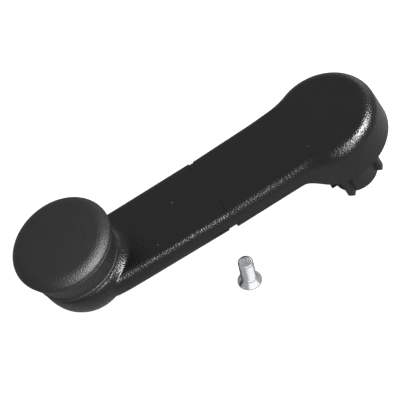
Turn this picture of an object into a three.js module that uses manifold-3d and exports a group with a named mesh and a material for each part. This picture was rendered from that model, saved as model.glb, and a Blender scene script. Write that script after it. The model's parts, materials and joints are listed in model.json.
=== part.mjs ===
// Window winder handle of a car door, at rest on a table, with its loose fixing screw beside it.
// Millimetres. The handle is drawn upright, with its hub axis as local Z, the mouth of the hub at
// the local origin and the knob along local +X. It is then laid on the hub lug and the knob's pad.
import * as THREE from 'three';
import { mergeVertices } from 'three/addons/utils/BufferGeometryUtils.js';
import Module from 'manifold-3d';

const wasm = await Module();
wasm.setup();

// Clearances and overruns
const slip = 0.3;                  // gap between two pieces that slide, turn or are pressed together
const overrun = 6;                 // how far every cutting body runs past what it cuts

// Main proportions of the handle
const crank_radius = 106;          // hub axis to knob axis
const hub_height = 41.2;           // mouth of the hub to the top of the dome
const skirt_depth = 16.4;          // top of the dome to the lower edge of its skirt
const arm_drop = 2.6;              // top of the dome down to the top of the arm
const arm_thickness = 8.6;
const hub_side = 16.7;             // half width of the arm, extended to the hub axis
const knob_side = 15.7;            // half width of the arm, extended to the knob axis
const arm_slope_share = 0.032;     // rise of the cover half of the arm, per unit of length

// Cover: a dome over the hub and half of the arm, open below
const dome_radius = 20.4;          // where the edge rounding of the dome starts
const skirt_radius = 21.2;         // at the lower edge
const dome_edge_radius = 4.0;
const arm_edge_radius = 2.8;
const neck_fillet = 21;            // hollow fillet between the dome and the arm, in plan
const cover_wall = 2.0;
const cover_roof = 2.2;
const least_edge_radius = 0.4;
const lip_width = 1.4;             // the lips hook under the sides of the tongue
const lip_thickness = 1.3;
const lip_start = 25;              // from the hub axis
const dome_blend_start = 3;        // the top falls from the dome to the arm between these two
const dome_blend_end = 27;
const skirt_blend_start = 9;       // the lower edge climbs from the skirt to the arm
const skirt_blend_end = 19;

// Joint between the cover and the bare half of the arm
const cover_length = 49.1;         // hub axis to the end of the cover
const strip_width = 2.5;           // strip of the tongue that shows between the two halves
const strip_depth = 0.35;
const joint_skew = 5.3;            // degrees

// Lever: the bare half of the arm
const lower_edge_radius = 0.8;
const arm_wall = 2.4;
const rib_width = 1.8;
const pocket_count = 4;            // on each side of the middle rib

// Hub barrel under the dome
const barrel_radius = 9.0;
const lug_radius = 11.1;
const lug_width = 2.8;
const lug_angles = [0, 58, -58, 153, -153];
const gusset_length = 26;          // along the tongue, from the barrel
const gusset_height = 9;

// Splined steel insert in the barrel
const insert_radius = 6.7;
const insert_flange_radius = 8.6;
const insert_flange_thickness = 1.6;
const insert_recess = 1.2;         // mouth of the hub to the foot of the insert
const flange_sink = 1.5;           // top of the tongue to the top of the flange
const spline_tip_radius = 4.7;
const spline_root_radius = 5.2;
const spline_teeth = 36;
const socket_depth = 16;
const web_thickness = 1.2;         // between the socket and the seat of the screw
const well_radius = 5.4;           // the screw goes down this well

// Fixing screw, countersunk
const screw_radius = 2.95;
const screw_length = 12.2;
const screw_head_radius = 4.7;
const screw_rim = 0.5;
const screw_chamfer = 0.6;
const recess_length = 5.2;
const recess_width = 1.2;
const recess_depth = 2.2;
const screw_hole_radius = 3.2;

// Pad at the knob end of the lever
const pad_radius = 17.0;
const pad_rise = 3.0;              // top of the arm to the top of the pad
const pad_drop = 4.0;              // underside of the arm down to the foot of the pad
const pad_chamfer = 0.6;
const flare_width = 2.0;           // hollow fillet between the pad and the top of the arm
const heel_radius = 4.1;           // rounding at the foot of the pad
const heel_slant = 18;             // degrees between the pad's flank and its axis
const heel_ring = 10.4;            // radius of the ring that the heel's rounding is centred on
const pin_boss_radius = 6.2;
const pin_boss_sink = 2.6;         // foot of the pad up to the foot of the pin boss
const pad_pocket_radius = 9.2;
const pad_rib_count = 6;

// Knob
const knob_radius = 20.1;
const knob_foot_radius = 17.2;
const knob_gap = 0.6;              // pad to the rim of the knob
const knob_hub_sink = 0.3;         // rim of the knob up to the foot of its hub
const body_height = 12.1;
const cap_height = 4.3;
const cap_edge_width = 4.6;        // plan width of the rounding at the rim of the cap
const cap_crown = 0.5;             // rise of the cap's face from its rounding to its middle
const cap_thickness = 1.9;
const knob_wall = 2.3;
const knob_floor = 2.0;
const knob_foot_chamfer = 0.8;
const foot_recess = 1.2;
const snap_depth = 2.6;            // the cap's ring reaches this far into the body
const snap_thickness = 1.5;
const knob_hub_radius = 7.6;
const knob_hub_height = 9.4;

// Pin, bush and washers inside the knob
const pin_radius = 4.0;
const pin_head_radius = 6.8;
const pin_head_height = 1.4;
const tail_radius = 3.0;
const tail_head_radius = 4.6;
const tail_head_height = 1.0;
const bush_wall = 1.3;
const bush_flange_radius = 7.4;
const bush_flange_thickness = 0.9;
const washer_radius = 8.0;
const washer_thickness = 0.8;
const tail_washer_radius = 5.6;
const wave_thickness = 0.25;
const wave_height = 0.15;
const wave_count = 3;

// Where the screw's foot stands on the table, from the middle of the hub's mouth
const screw_place_x = -56;
const screw_place_y = -26.3;

// Steps of the round surfaces
const dome_steps = 23;
const fillet_steps = 8;
const side_steps = 4;
const edge_steps = 4;
const round_sides = 48;
const small_sides = 32;
const pin_sides = 24;

// Heights that follow, above the mouth of the hub
const skirt_z = hub_height - skirt_depth;
const arm_top_z = hub_height - arm_drop;
const arm_bottom_z = arm_top_z - arm_thickness;
const pad_top_z = arm_top_z + pad_rise;
const pad_foot_z = arm_bottom_z - pad_drop;
const shoulder_x = cover_length + strip_width;
const taper = (hub_side - knob_side) / crank_radius;
const lip_top_z = arm_bottom(lip_start) + lip_thickness;
const tongue_bottom_z = lip_top_z + slip;
const tongue_top_z = arm_top_z - cover_roof - slip;
const skew_reach = hub_side * Math.tan(THREE.MathUtils.degToRad(joint_skew));
const tongue_side = side_at(cover_length + skew_reach) - cover_wall - slip;
const insert_top_z = tongue_top_z - flange_sink;
const web_z = insert_recess + socket_depth;

const degrees = THREE.MathUtils.degToRad;

function side_at(x) {
  return hub_side - taper * x;
}

function arm_bottom(x) {
  return arm_bottom_z + arm_slope_share * Math.max(0, shoulder_x - x);
}

// 1 over the dome, 0 along the arm, smooth between
function share_of_dome(x, start, end) {
  return 1 - THREE.MathUtils.smoothstep(x, start, end);
}

function top_at(x) {
  const arm_top = arm_top_z + arm_slope_share * Math.max(0, shoulder_x - x);
  return THREE.MathUtils.lerp(arm_top, hub_height, share_of_dome(x, dome_blend_start, dome_blend_end));
}

function lower_edge_at(x) {
  return THREE.MathUtils.lerp(arm_bottom(x), skirt_z, share_of_dome(x, skirt_blend_start, skirt_blend_end));
}

// Turns a three.js geometry into a solid for joins and cuts
function solid_of(geometry) {
  geometry.deleteAttribute('normal');
  geometry.deleteAttribute('uv');
  const welded = mergeVertices(geometry);
  const corners = welded.index.array;
  const triangles = [];
  for (let i = 0; i < corners.length; i += 3) {
    const [a, b, c] = [corners[i], corners[i + 1], corners[i + 2]];
    if (a !== b && b !== c && c !== a) triangles.push(a, b, c);
  }
  const vertProperties = welded.attributes.position.array;
  return new wasm.Manifold(new wasm.Mesh({ numProp: 3, vertProperties, triVerts: new Uint32Array(triangles) }));
}

function geometry_of(solid) {
  const { vertProperties, triVerts } = solid.getMesh();
  const geometry = new THREE.BufferGeometry();
  geometry.setAttribute('position', new THREE.BufferAttribute(vertProperties, 3));
  geometry.setIndex(new THREE.BufferAttribute(triVerts, 1));
  return geometry;
}

// Points of an arc, from one angle to another in degrees
function arc(x, y, radius, from, to, steps, radius_y = radius) {
  return Array.from({ length: steps + 1 }, (_, i) => {
    const angle = degrees(from + (to - from) * i / steps);
    return [x + radius * Math.cos(angle), y + radius_y * Math.sin(angle)];
  });
}

// A round body from a profile of [radius, height] points that runs up its outside
function turned(profile, sides) {
  const points = profile.map(([radius, height]) => new THREE.Vector2(radius, height));
  return solid_of(new THREE.LatheGeometry(points, sides).rotateX(Math.PI / 2));
}

function ring(inner, outer, bottom, top, sides) {
  return turned([[inner, bottom], [outer, bottom], [outer, top], [inner, top], [inner, bottom]], sides);
}

function rod(radius, bottom, top, sides) {
  return turned([[0, bottom], [radius, bottom], [radius, top], [0, top]], sides);
}

// A straight body over a closed outline in the XY plane
function prism(outline, bottom, top) {
  const shape = new THREE.Shape(outline.map(([x, y]) => new THREE.Vector2(x, y)));
  const geometry = new THREE.ExtrudeGeometry(shape, { depth: top - bottom, bevelEnabled: false });
  return solid_of(geometry.translate(0, 0, bottom));
}

function block(x_from, x_to, y_from, y_to, bottom, top) {
  return prism([[x_from, y_from], [x_to, y_from], [x_to, y_to], [x_from, y_to]], bottom, top);
}

// Joins half outlines of [x, y, z] points, from the lowest level up, with their mirror images
function lofted(levels) {
  const count = levels[0].length;
  const positions = levels.flatMap((level) => level.flatMap(([x, y, z]) => [x, y, z, x, -y, z]));
  const index = [];
  const at = (level, point, mirrored) => 2 * (level * count + point) + mirrored;
  const quad = (a, b, c, d) => index.push(a, b, c, a, c, d);
  for (let k = 0; k + 1 < levels.length; k++) {
    for (let i = 0; i + 1 < count; i++) {
      quad(at(k, i + 1, 0), at(k, i, 0), at(k + 1, i, 0), at(k + 1, i + 1, 0));
      quad(at(k, i, 1), at(k, i + 1, 1), at(k + 1, i + 1, 1), at(k + 1, i, 1));
    }
    quad(at(k, 0, 0), at(k, 0, 1), at(k + 1, 0, 1), at(k + 1, 0, 0));
    quad(at(k, count - 1, 1), at(k, count - 1, 0), at(k + 1, count - 1, 0), at(k + 1, count - 1, 1));
  }
  const top = levels.length - 1;
  for (let i = 0; i + 1 < count; i++) {
    quad(at(0, i, 0), at(0, i + 1, 0), at(0, i + 1, 1), at(0, i, 1));
    quad(at(top, i, 1), at(top, i + 1, 1), at(top, i + 1, 0), at(top, i, 0));
  }
  const geometry = new THREE.BufferGeometry();
  geometry.setAttribute('position', new THREE.Float32BufferAttribute(positions, 3));
  geometry.setIndex(index);
  return solid_of(geometry);
}

// Half outline of the cover in plan: round the dome, through the hollow fillet and along the arm
function cover_outline(radius, side, fillet, end_x) {
  const slant = Math.atan(taper);
  const across = fillet + side * Math.cos(slant);
  const along = Math.sqrt((radius + fillet) ** 2 - across ** 2);
  const centre_x = across * Math.sin(slant) + along * Math.cos(slant);
  const centre_y = across * Math.cos(slant) - along * Math.sin(slant);
  const meeting = THREE.MathUtils.radToDeg(Math.atan2(centre_y, centre_x));
  const end_of_fillet = -90 - THREE.MathUtils.radToDeg(slant);
  const dome = arc(0, 0, radius, 180, meeting, dome_steps);
  dome[0][1] = 0;
  const neck = arc(centre_x, centre_y, fillet, meeting - 180, end_of_fillet, fillet_steps).slice(1);
  const start_x = neck.at(-1)[0];
  const arm = Array.from({ length: side_steps }, (_, i) => {
    const x = start_x + (end_x - start_x) * (i + 1) / side_steps;
    return [x, side - taper * x];
  });
  return [...dome, ...neck, ...arm];
}

// Solid form of the cover, shrunk by a wall for the hollow inside it
function cover_form(wall, roof, low, end_x) {
  const dome_edge = Math.max(dome_edge_radius - wall, least_edge_radius);
  const arm_edge = Math.max(arm_edge_radius - wall, least_edge_radius);
  const level = (radius, inset, height_at) => {
    const outline = cover_outline(radius - wall, hub_side - wall - inset, neck_fillet + wall + inset, end_x);
    return outline.map(([x, y]) => [x, y, height_at(x)]);
  };
  const levels = [level(skirt_radius, 0, (x) => lower_edge_at(x) - low)];
  for (let i = 0; i <= edge_steps; i++) {
    const turn = Math.PI / 2 * i / edge_steps;
    const inward = 1 - Math.cos(turn);
    const edge_at = (x) => {
      const share = share_of_dome(x, dome_blend_start, dome_blend_end);
      return THREE.MathUtils.lerp(arm_edge, dome_edge, share) * (1 - Math.sin(turn));
    };
    const radius = dome_radius - dome_edge * inward;
    levels.push(level(radius, arm_edge * inward, (x) => top_at(x) - roof - edge_at(x)));
  }
  return lofted(levels);
}

// Everything on the knob's side of the skewed joint, from a place on the arm's middle line
function knob_side_of(x) {
  const half_space = block(0, 2 * crank_radius, -crank_radius, crank_radius, -hub_height, 2 * hub_height);
  return half_space.rotate([0, 0, joint_skew]).translate([x, 0, 0]);
}

function hub_cover() {
  const end_x = cover_length + skew_reach + slip;
  const outer = cover_form(0, 0, 0, end_x);
  const hollow = cover_form(cover_wall, cover_roof, overrun, end_x + overrun);
  const lip = (hand) => {
    const outline = [lip_start, end_x].flatMap((x) => [[x, side_at(x) - cover_wall / 2]]);
    const inside = [end_x, lip_start].map((x) => [x, side_at(x) - cover_wall - lip_width]);
    const strip = [...outline, ...inside].map(([x, y]) => [x, hand * y]);
    return prism(hand > 0 ? strip.reverse() : strip, skirt_z, lip_top_z).intersect(outer);
  };
  return outer.subtract(hollow).add(lip(1)).add(lip(-1)).subtract(knob_side_of(cover_length));
}

// A length of the arm with rounded edges, drawn in by a depth all round
function arm_form(from_x, to_x, depth) {
  const level = (inset, z) => [from_x, to_x].map((x) => [x, side_at(x) - depth - inset, z]);
  const bottom = arm_bottom_z + depth;
  const top = arm_top_z - depth;
  const levels = [level(lower_edge_radius, bottom), level(0, bottom + lower_edge_radius)];
  for (let i = 0; i <= edge_steps; i++) {
    const turn = Math.PI / 2 * i / edge_steps;
    levels.push(level(arm_edge_radius * (1 - Math.cos(turn)), top - arm_edge_radius * (1 - Math.sin(turn))));
  }
  return lofted(levels);
}

// Tongue under the cover: a flat plate with a round end over the hub
function tongue() {
  const end = shoulder_x + skew_reach;
  const round_end = arc(0, 0, tongue_side, 90, 270, small_sides / 2);
  return prism([...round_end, [end, -tongue_side], [end, tongue_side]], tongue_bottom_z, tongue_top_z);
}

function hub_barrel() {
  let barrel = rod(barrel_radius, 0, tongue_bottom_z + slip, round_sides);
  for (const angle of lug_angles) {
    const lug = block(0, lug_radius, -lug_width / 2, lug_width / 2, 0, tongue_bottom_z + slip);
    barrel = barrel.add(lug.rotate([0, 0, angle]));
  }
  const foot = barrel_radius - slip;
  const outline = [[foot, -gusset_height], [foot + gusset_length, 0], [foot + gusset_length, slip], [foot, slip]];
  const gusset = prism(outline, -lug_width / 2, lug_width / 2).rotate([90, 0, 0]);
  return barrel.add(gusset.translate([0, 0, tongue_bottom_z]));
}

// Bowl-shaped pad that carries the knob, round its own axis
function pad_form() {
  const heel = arc(heel_ring, pad_foot_z + heel_radius, heel_radius, -90, -heel_slant, edge_steps);
  return turned([[0, pad_foot_z], ...heel, [pad_radius, arm_top_z - arm_edge_radius / 2],
    [pad_radius, pad_top_z - pad_chamfer], [pad_radius - pad_chamfer, pad_top_z], [0, pad_top_z]], round_sides);
}

// Hollow fillet round the pad, held within the width of the arm
function pad_flare() {
  const outer = pad_radius + flare_width;
  const foot_z = arm_top_z - arm_edge_radius;
  const hollow = arc(outer, arm_top_z + flare_width, flare_width, 270, 180, edge_steps);
  const flare = turned([[0, foot_z], [outer, foot_z], ...hollow, [0, arm_top_z + flare_width]], round_sides);
  const level = (inset, z) => [[crank_radius / 2, 0, z], [crank_radius / 2, side_at(crank_radius) - inset, z],
    [crank_radius, side_at(crank_radius) - inset, z]];
  const reach = lofted([level(0, foot_z), level(arm_edge_radius, pad_top_z)]);
  return flare.translate([crank_radius, 0, 0]).intersect(reach);
}

// Pockets under the arm, either side of a middle rib, with cross ribs between them
function arm_pockets() {
  const start = shoulder_x + skew_reach + arm_wall;
  const end = crank_radius - pad_radius - arm_wall;
  const pitch = (end - start + rib_width) / pocket_count;
  const pockets = [];
  for (let i = 0; i < pocket_count; i++) {
    const from = start + i * pitch;
    const to = from + pitch - rib_width;
    for (const hand of [1, -1]) {
      const outline = [[from, rib_width / 2], [to, rib_width / 2], [to, side_at(to) - arm_wall],
        [from, side_at(from) - arm_wall]].map(([x, y]) => [x, hand * y]);
      const bottom = arm_bottom_z - overrun;
      pockets.push(prism(hand > 0 ? outline : outline.reverse(), bottom, arm_top_z - arm_wall));
    }
  }
  return wasm.Manifold.union(pockets);
}

// Ring-shaped pockets round the pin boss, with ribs between them, and the recess for the pin's tail
function pad_pockets() {
  const roof = pad_top_z - arm_wall;
  let pockets = ring(pin_boss_radius, pad_pocket_radius, pad_foot_z - overrun, roof, small_sides);
  for (let i = 0; i < pad_rib_count; i++) {
    const rib = block(0, pad_pocket_radius + overrun, -rib_width / 2, rib_width / 2,
      pad_foot_z + pin_boss_sink, roof + slip);
    pockets = pockets.subtract(rib.rotate([0, 0, 360 * i / pad_rib_count]));
  }
  return pockets.add(rod(pin_boss_radius + slip, pad_foot_z - overrun, pad_foot_z + pin_boss_sink, small_sides));
}

function crank_arm() {
  const bare = arm_form(cover_length, crank_radius, 0).intersect(knob_side_of(shoulder_x));
  const collar = arm_form(cover_length - skew_reach, shoulder_x + skew_reach + arm_wall, strip_depth)
    .intersect(knob_side_of(cover_length + slip));
  const pin_hole = rod(tail_radius + slip, pad_foot_z, pad_top_z + overrun, pin_sides);
  const pad = pad_form().subtract(pad_pockets()).subtract(pin_hole).translate([crank_radius, 0, 0]);
  const pad_space = rod(pad_radius - pad_chamfer, arm_bottom_z - overrun, pad_top_z, round_sides)
    .translate([crank_radius, 0, 0]);
  const bore = rod(insert_radius + slip, -overrun, hub_height, small_sides);
  const seat = rod(insert_flange_radius + slip, insert_top_z - insert_flange_thickness - slip, hub_height, small_sides);
  const lever = bare.add(collar).subtract(arm_pockets()).add(pad_flare()).subtract(pad_space);
  return lever.add(pad).add(tongue()).add(hub_barrel()).subtract(bore).subtract(seat);
}

// Steel insert: a splined socket for the spindle below, the screw's seat and well above
function hub_insert() {
  const flange_z = insert_top_z - insert_flange_thickness;
  const outside = turned([[0, insert_recess], [insert_radius, insert_recess], [insert_radius, flange_z],
    [insert_flange_radius, flange_z], [insert_flange_radius, insert_top_z], [0, insert_top_z]], small_sides);
  const teeth = Array.from({ length: 2 * spline_teeth }, (_, i) => {
    const radius = i % 2 ? spline_root_radius : spline_tip_radius;
    const angle = Math.PI * i / spline_teeth;
    return [radius * Math.cos(angle), radius * Math.sin(angle)];
  });
  const socket = prism(teeth, insert_recess - overrun, web_z);
  const cone_z = web_z + web_thickness;
  const seat_z = cone_z + screw_head_radius - screw_hole_radius;
  const well = turned([[0, web_z - slip], [screw_hole_radius, web_z - slip], [screw_hole_radius, cone_z],
    [screw_head_radius, seat_z], [well_radius, seat_z], [well_radius, insert_top_z + overrun],
    [0, insert_top_z + overrun]], small_sides);
  return outside.subtract(socket).subtract(well);
}

// The screw stands on its head, which has a cross recess
function fixing_screw() {
  const cone_z = screw_rim + screw_head_radius - screw_radius;
  const body = turned([[0, 0], [screw_head_radius, 0], [screw_head_radius, screw_rim], [screw_radius, cone_z],
    [screw_radius, screw_length - screw_chamfer], [screw_radius - screw_chamfer, screw_length],
    [0, screw_length]], small_sides);
  const arm = block(-recess_length / 2, recess_length / 2, -recess_width / 2, recess_width / 2,
    -overrun, recess_depth);
  return body.subtract(arm).subtract(arm.rotate([0, 0, 90]));
}

function knob_body() {
  const foot_z = pad_top_z + knob_gap;
  const top_z = foot_z + body_height;
  const floor_z = foot_z + foot_recess;
  const hub_foot_z = foot_z + knob_hub_sink;
  const flank = (knob_radius - knob_foot_radius) / body_height;
  const inside_at = (z) => knob_foot_radius - knob_wall + flank * (z - foot_z);
  const ledge_z = top_z - snap_depth - slip;
  const snap_r = knob_radius - knob_wall;
  const bore = pin_radius + slip + bush_wall + slip;
  return turned([
    [bore, hub_foot_z], [knob_hub_radius, hub_foot_z], [knob_hub_radius, floor_z],
    [inside_at(floor_z), floor_z], [inside_at(foot_z), foot_z],
    [knob_foot_radius - knob_foot_chamfer, foot_z], [knob_foot_radius, foot_z + knob_foot_chamfer],
    [knob_radius, top_z], [snap_r, top_z], [snap_r, ledge_z], [inside_at(ledge_z), ledge_z],
    [inside_at(floor_z + knob_floor), floor_z + knob_floor], [knob_hub_radius, floor_z + knob_floor],
    [knob_hub_radius, knob_hub_top_z], [bore, knob_hub_top_z], [bore, hub_foot_z],
  ], round_sides);
}

function knob_cap() {
  const rim_z = pad_top_z + knob_gap + body_height + slip;
  const top_z = rim_z + cap_height;
  const edge_height = cap_height - cap_crown;
  const rounding = arc(knob_radius - cap_edge_width, rim_z, cap_edge_width, 0, 90, 2 * edge_steps, edge_height);
  const snap_r = knob_radius - knob_wall - slip;
  const ceiling_z = top_z - cap_thickness;
  return turned([
    [snap_r - snap_thickness, rim_z - snap_depth], [snap_r, rim_z - snap_depth], [snap_r, rim_z],
    ...rounding, [0, top_z], [0, ceiling_z], [snap_r - snap_thickness, ceiling_z - cap_crown],
    [snap_r - snap_thickness, rim_z - snap_depth],
  ], round_sides);
}

// Heights of the stack on the pin, from the knob's hub up
const knob_hub_top_z = pad_top_z + knob_gap + knob_hub_sink + knob_hub_height;
const bush_top_z = knob_hub_top_z + slip + bush_flange_thickness;
const washer_top_z = bush_top_z + slip + washer_thickness;
const pin_boss_z = pad_foot_z + pin_boss_sink;
const tail_washer_z = pin_boss_z - slip - washer_thickness;

function knob_bush() {
  const inner = pin_radius + slip;
  const foot_z = pad_top_z + knob_gap + knob_hub_sink + slip;
  return turned([[inner, foot_z], [inner + bush_wall, foot_z], [inner + bush_wall, knob_hub_top_z + slip],
    [bush_flange_radius, knob_hub_top_z + slip], [bush_flange_radius, bush_top_z], [inner, bush_top_z],
    [inner, foot_z]], small_sides);
}

function knob_pin() {
  const head_z = washer_top_z + slip;
  const tail_z = tail_washer_z - slip;
  return turned([[0, tail_z - tail_head_height], [tail_radius, tail_z - tail_head_height],
    [tail_head_radius, tail_z], [tail_radius, tail_z], [tail_radius, pad_top_z + slip],
    [pin_radius, pad_top_z + slip], [pin_radius, head_z], [pin_head_radius, head_z],
    [pin_head_radius, head_z + pin_head_height / 2], [pin_radius, head_z + pin_head_height],
    [0, head_z + pin_head_height]], pin_sides);
}

// Spring washer with three waves, which keeps the knob from rattling
function wave_washer() {
  const middle = pad_top_z + (knob_gap + knob_hub_sink) / 2;
  const inner = pin_radius + 2 * slip;
  const outer = knob_hub_radius - slip;
  const flat = ring(inner, outer, middle - wave_thickness / 2, middle + wave_thickness / 2, round_sides);
  return flat.warp((point) => {
    point[2] += wave_height * Math.sin(wave_count * Math.atan2(point[1], point[0]));
  });
}

// Materials
const black_plastic = { color: 0x1b1b1c, roughness: 0.6, metalness: 0 };
const smooth_plastic = { color: 0x202021, roughness: 0.45, metalness: 0 };
const natural_plastic = { color: 0xd8d4c6, roughness: 0.5, metalness: 0 };
const steel = { color: 0xb9bbbd, roughness: 0.35, metalness: 1 };
const bright_zinc = { color: 0xd5d7d9, roughness: 0.25, metalness: 1 };

function piece(name, solid, finish) {
  const mesh = new THREE.Mesh(geometry_of(solid), new THREE.MeshStandardMaterial(finish));
  mesh.name = name;
  return mesh;
}

// The handle lies on the lug that points to the knob and on the heel of the pad
function rest_tilt() {
  const rise = pad_foot_z + heel_radius;
  const run = crank_radius + heel_ring - lug_radius;
  return Math.acos(heel_radius / Math.hypot(rise, run)) - Math.atan2(run, rise);
}

const knob = new THREE.Group();
knob.add(piece('knob_body', knob_body(), smooth_plastic));
knob.add(piece('knob_cap', knob_cap(), smooth_plastic));
knob.add(piece('knob_bush', knob_bush(), natural_plastic));
knob.add(piece('knob_pin', knob_pin(), steel));
knob.add(piece('knob_washer', ring(pin_radius + slip, washer_radius, washer_top_z - washer_thickness,
  washer_top_z, small_sides), steel));
knob.add(piece('wave_washer', wave_washer(), steel));
knob.add(piece('tail_washer', ring(tail_radius + slip, tail_washer_radius, tail_washer_z,
  tail_washer_z + washer_thickness, pin_sides), steel));
knob.position.x = crank_radius;

const upright = new THREE.Group();
upright.add(piece('crank_arm', crank_arm(), black_plastic));
upright.add(piece('hub_cover', hub_cover(), black_plastic));
upright.add(piece('hub_insert', hub_insert(), steel));
upright.add(knob);
upright.rotation.z = Math.PI;

const handle = new THREE.Group();
handle.add(upright);
handle.rotation.y = -rest_tilt();
handle.position.z = lug_radius * Math.sin(rest_tilt());

const screw = piece('fixing_screw', fixing_screw(), bright_zinc);
screw.position.set(screw_place_x, screw_place_y, 0);

const group = new THREE.Group();
group.add(handle);
group.add(screw);
group.updateMatrixWorld(true);
const box = new THREE.Box3().setFromObject(group, true);
const middle = box.getCenter(new THREE.Vector3());
group.position.set(-middle.x, -middle.y, -box.min.z);
group.updateMatrixWorld(true);

export default group;
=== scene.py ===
# %% [markdown]
# # A window winder handle and its fixing screw
# The handle lies on a table, as in a shop photograph: a round knob at one end, a dome over the
# hub at the other, and a short countersunk screw that stands on its head beside them.
# The engineering model is loaded first. It fixes every size and every joint, and the pieces
# made below are fitted round it and ride on its moving bodies.

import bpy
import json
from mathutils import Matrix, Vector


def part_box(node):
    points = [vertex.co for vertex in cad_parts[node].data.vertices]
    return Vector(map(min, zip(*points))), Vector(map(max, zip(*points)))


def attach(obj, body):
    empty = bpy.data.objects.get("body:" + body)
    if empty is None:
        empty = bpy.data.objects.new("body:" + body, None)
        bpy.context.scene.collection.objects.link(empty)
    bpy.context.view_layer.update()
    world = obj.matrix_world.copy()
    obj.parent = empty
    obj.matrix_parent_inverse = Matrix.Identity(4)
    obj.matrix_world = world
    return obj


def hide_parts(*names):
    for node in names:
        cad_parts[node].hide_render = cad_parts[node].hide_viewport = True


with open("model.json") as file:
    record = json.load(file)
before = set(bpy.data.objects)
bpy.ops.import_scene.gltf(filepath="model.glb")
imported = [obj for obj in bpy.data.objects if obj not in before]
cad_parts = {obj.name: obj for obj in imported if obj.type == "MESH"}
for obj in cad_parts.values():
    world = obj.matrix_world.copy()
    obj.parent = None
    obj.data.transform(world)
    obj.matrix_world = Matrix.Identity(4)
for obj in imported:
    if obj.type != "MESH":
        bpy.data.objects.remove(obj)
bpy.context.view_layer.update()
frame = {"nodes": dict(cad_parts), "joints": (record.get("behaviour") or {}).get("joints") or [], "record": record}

# %% [markdown]
# The handle leans on its hub, so nothing on it is level. It is far easier to model it upright
# on a bench, in millimetres, with the hub's axis as Z and the knob out along X, and to lay the
# finished mesh down in one move. The joints of the engineering model say how it lies: the knob
# turns about the hub's direction, and the cover slides away from the knob. The mount's point
# lies on the ring-shaped foot of the hub, so its distance from the axis is taken off.

# %% From the bench to the table
import json
import math

import bmesh
import bpy
from mathutils import Matrix, Vector

MM = 0.001
SEAT_RADIUS = 8.0
joints = {joint["name"]: joint for joint in frame["joints"]}
hub_up = Vector(joints["knob_spin"]["axis"])
to_knob = -Vector(joints["cover_slide"]["axis"])
sideways = hub_up.cross(to_knob)
hub_foot = Vector(frame["record"]["mounts"][0]["pos_m"]) - sideways * SEAT_RADIUS * MM
HANDLE_PLACE = Matrix.Translation(hub_foot) @ Matrix(
    [list(row) for row in zip(to_knob * MM, sideways * MM, hub_up * MM)]
).to_4x4()
screw_low, screw_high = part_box("fixing_screw")
screw_middle = (screw_low + screw_high) / 2
SCREW_PLACE = Matrix.Translation((screw_middle.x, screw_middle.y, 0)) @ Matrix.Scale(MM, 4)
print("the hub stands at", [round(x, 4) for x in hub_foot])

# %% [markdown]
# A few helpers do what the hand does at the screen: take hold of a piece, and pick its corners,
# edges or faces by their place. An operator acts on all that is selected, so each step lets go of
# everything first and then selects what it needs.

# %% Picking by place
DOUBLES = 0.001
TURN = 2 * math.pi


def put_down():
    """Leaves edit mode and lets go of everything."""
    if bpy.context.mode != "OBJECT":
        bpy.ops.object.mode_set(mode="OBJECT")
    bpy.ops.object.select_all(action="DESELECT")


def take(piece):
    """Leaves edit mode and takes hold of this piece alone."""
    put_down()
    piece.select_set(True)
    bpy.context.view_layer.objects.active = piece


def start(name, primitive, **settings):
    """Adds a primitive on the bench and opens it in edit mode, selected all over."""
    put_down()
    primitive(**settings)
    bpy.ops.object.transform_apply(location=True, rotation=True, scale=True)
    piece = bpy.context.object
    piece.name = piece.data.name = name
    bpy.ops.object.mode_set(mode="EDIT")
    bpy.ops.mesh.select_mode(type="VERT")
    return piece


def pick(kind, test):
    """Selects the corners, edges or faces whose middle passes the test, and counts them."""
    bpy.ops.mesh.select_mode(type="VERT")
    bpy.ops.mesh.select_all(action="DESELECT")
    bpy.ops.mesh.select_mode(type=kind)
    mesh = bmesh.from_edit_mesh(bpy.context.object.data)
    items = {"VERT": mesh.verts, "EDGE": mesh.edges, "FACE": mesh.faces}[kind]
    picked = 0
    for item in items:
        if kind == "VERT":
            middle = item.co
        elif kind == "EDGE":
            middle = (item.verts[0].co + item.verts[1].co) / 2
        else:
            middle = item.calc_center_median()
        if test(middle, item):
            item.select = True
            picked += 1
    mesh.select_flush_mode()
    bmesh.update_edit_mesh(bpy.context.object.data)
    return picked


def near(a, b, reach=0.02):
    """Tells whether two measures are the same but for rounding."""
    return abs(a - b) < reach


def extrude_edges(move):
    """Draws the picked edges out into new faces."""
    bpy.ops.mesh.extrude_edges_move(TRANSFORM_OT_translate={"value": move})


def scale_about(factors, centre):
    """Scales what is picked about a centre of its own."""
    bpy.ops.transform.resize(value=factors, center_override=centre)


# %% [markdown]
# Many pieces of the handle are round. Such a piece is drawn as half of its section, corner by
# corner, some corners are rounded, and the line is spun once round the axis. That gives clean
# rings of faces and keeps every size of the section in sight.

# %% Drawing a line and spinning it
def draw_line(name, points, rounds=None, segments=8, closed=False):
    """Draws a line of (radius, height) points, rounding some corners by a distance along it."""
    piece = start(name, bpy.ops.mesh.primitive_plane_add, size=1)
    bpy.ops.mesh.merge(type="CENTER")
    path = [Vector((radius, 0, height)) for radius, height in points]
    bpy.ops.transform.translate(value=path[0])
    for here, there in zip(path, path[1:]):
        bpy.ops.mesh.extrude_vertices_move(TRANSFORM_OT_translate={"value": there - here})
    if closed:
        move = path[0] - path[-1]
        bpy.ops.mesh.extrude_vertices_move(TRANSFORM_OT_translate={"value": move})
        bpy.ops.mesh.select_all(action="SELECT")
        bpy.ops.mesh.remove_doubles(threshold=DOUBLES)
    for corner, reach in (rounds or {}).items():
        pick("VERT", lambda place, _: (place - path[corner]).length < DOUBLES)
        bpy.ops.mesh.bevel(offset=reach, segments=segments, affect="VERTICES")
    return piece


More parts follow.
